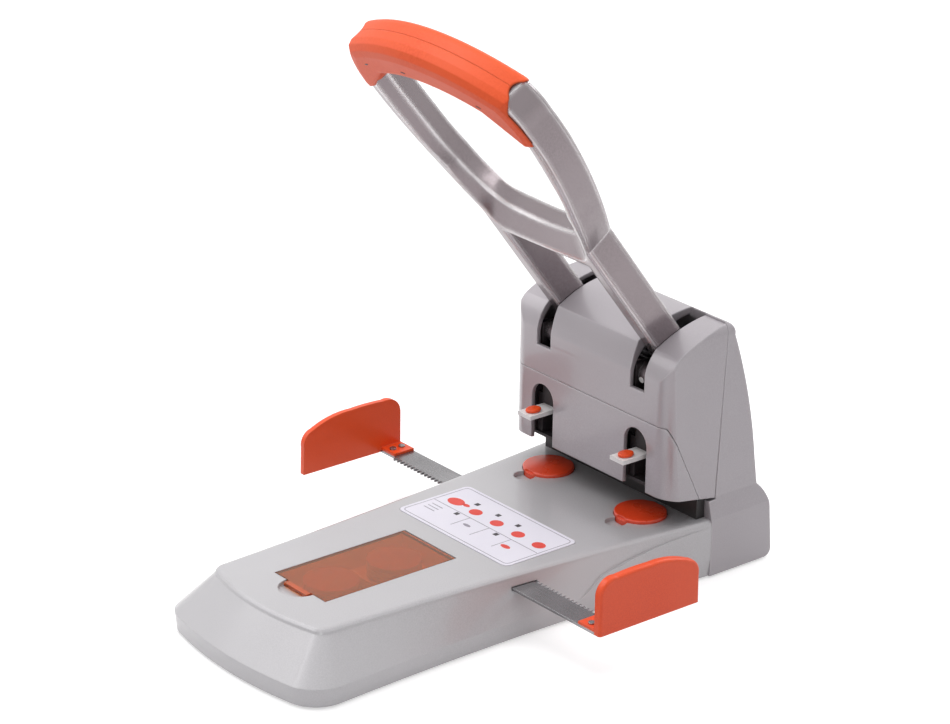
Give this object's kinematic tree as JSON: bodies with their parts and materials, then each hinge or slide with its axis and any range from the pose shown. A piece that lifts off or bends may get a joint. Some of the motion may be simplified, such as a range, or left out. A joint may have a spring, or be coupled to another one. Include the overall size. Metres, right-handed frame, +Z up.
{
  "type": "two-hole lever punch",
  "caption": "Heavy desk punch for holes in paper: sloping table, punching head with covers, looped press lever and toothed side guides.",
  "frame": {"origin": "on the floor, in the middle of the footprint", "axes": "+X to the right of the person who presses the lever, +Y from the nose of the table to the back of the head, +Z up"},
  "size_m": [0.2678, 0.33, 0.3296],
  "materials": {
    "base_silver": "satin silver paint",
    "head_silver": "satin grey-silver paint",
    "lever_cast": "satin painted casting",
    "grip_orange": "soft matt",
    "plate_orange": "gloss",
    "disc_red": "gloss",
    "spare_orange": "gloss",
    "lid_amber": "clear tinted",
    "label_white": "printed film",
    "bright_steel": "brushed",
    "tool_steel": "ground",
    "dark_sheet": "black coated steel",
    "black_plastic": "matt",
    "white_plastic": "gloss",
    "foot_rubber": "matt"
  },
  "bodies": {
    "base": {"base_housing": "base_silver", "rear_housing": "head_silver", "front_cover": "head_silver", "front_panel": "head_silver", "base_plate": "dark_sheet", "base_screws": "bright_steel", "rubber_feet": "foot_rubber", "label_plate": "label_white", "lid_hinge_pin": "bright_steel", "spare_discs_front": "spare_orange", "spare_discs_rear": "spare_orange", "disc_key": "black_plastic", "guide_track": "dark_sheet", "pinion_cap": "bright_steel", "paper_stop": "black_plastic", "press_frame": "dark_sheet", "punch_guide": "dark_sheet", "axle": "bright_steel", "axle_spacers": "bright_steel", "return_spring_left": "bright_steel", "return_spring_right": "bright_steel"},
    "lever": {"lever_frame": "lever_cast", "cross_pin": "bright_steel", "grip_front": "grip_orange", "grip_rear": "grip_orange"},
    "punch_left": {"punch_holder_left": "dark_sheet", "punch_tube_left": "tool_steel", "punch_tab_left": "white_plastic", "tab_insert_left": "plate_orange"},
    "punch_right": {"punch_holder_right": "dark_sheet", "punch_tube_right": "tool_steel", "punch_tab_right": "white_plastic", "tab_insert_right": "plate_orange"},
    "guide_right": {"guide_strip_right": "bright_steel", "end_plate_right": "plate_orange", "plate_rivets_right": "bright_steel"},
    "guide_left": {"guide_strip_left": "bright_steel", "end_plate_left": "plate_orange", "plate_rivets_left": "bright_steel"},
    "pinion_wheel": {"pinion": "white_plastic"},
    "lid": {"storage_lid": "lid_amber"},
    "disc_left": {"cutting_disc_left": "disc_red"},
    "disc_right": {"cutting_disc_right": "disc_red"}
  },
  "joints": [
    {"name": "lever_press", "type": "hinge", "parent": "base", "child": "lever", "pos_m": [0, 0.1278, 0.11], "axis": [1, 0, 0], "range_deg": [0, 32], "stiffness_Nm_per_rad": 3, "springref_deg": -22.92},
    {"name": "punch_left_stroke", "type": "slide", "parent": "base", "child": "punch_left", "axis": [0, 0, -1], "range_m": [0, 0.016], "deforming": ["return_spring_left"]},
    {"name": "punch_right_stroke", "type": "slide", "parent": "base", "child": "punch_right", "axis": [0, 0, -1], "range_m": [0, 0.016], "deforming": ["return_spring_right"]},
    {"name": "guide_right_slide", "type": "slide", "parent": "base", "child": "guide_right", "axis": [1, 0, 0], "range_m": [-0.03, 0.02]},
    {"name": "guide_left_slide", "type": "slide", "parent": "base", "child": "guide_left", "axis": [-1, 0, 0], "range_m": [-0.03, 0.02]},
    {"name": "pinion_spin", "type": "hinge", "parent": "base", "child": "pinion_wheel", "pos_m": [0, 0.01917, 0.0287], "axis": [0, 0, 1], "range_deg": [-84.6, 56.5]},
    {"name": "lid_hinge", "type": "hinge", "parent": "base", "child": "lid", "pos_m": [0, -0.0275, 0.035], "axis": [-1, 0, 0], "range_deg": [0, 100]},
    {"name": "disc_left_turn", "type": "hinge", "parent": "base", "child": "disc_left", "pos_m": [-0.04, 0.0928, 0.0355], "axis": [0, 0, 1], "continuous": true},
    {"name": "disc_right_turn", "type": "hinge", "parent": "base", "child": "disc_right", "pos_m": [0.04, 0.0928, 0.0355], "axis": [0, 0, 1], "continuous": true}
  ],
  "couplings": [
    {"joint": "punch_left_stroke", "follows": "lever_press", "m_per_rad": 0.02864},
    {"joint": "punch_right_stroke", "follows": "lever_press", "m_per_rad": 0.02864},
    {"joint": "guide_left_slide", "follows": "guide_right_slide", "ratio": 1},
    {"joint": "pinion_spin", "follows": "guide_right_slide", "rad_per_m": 49.087}
  ]
}
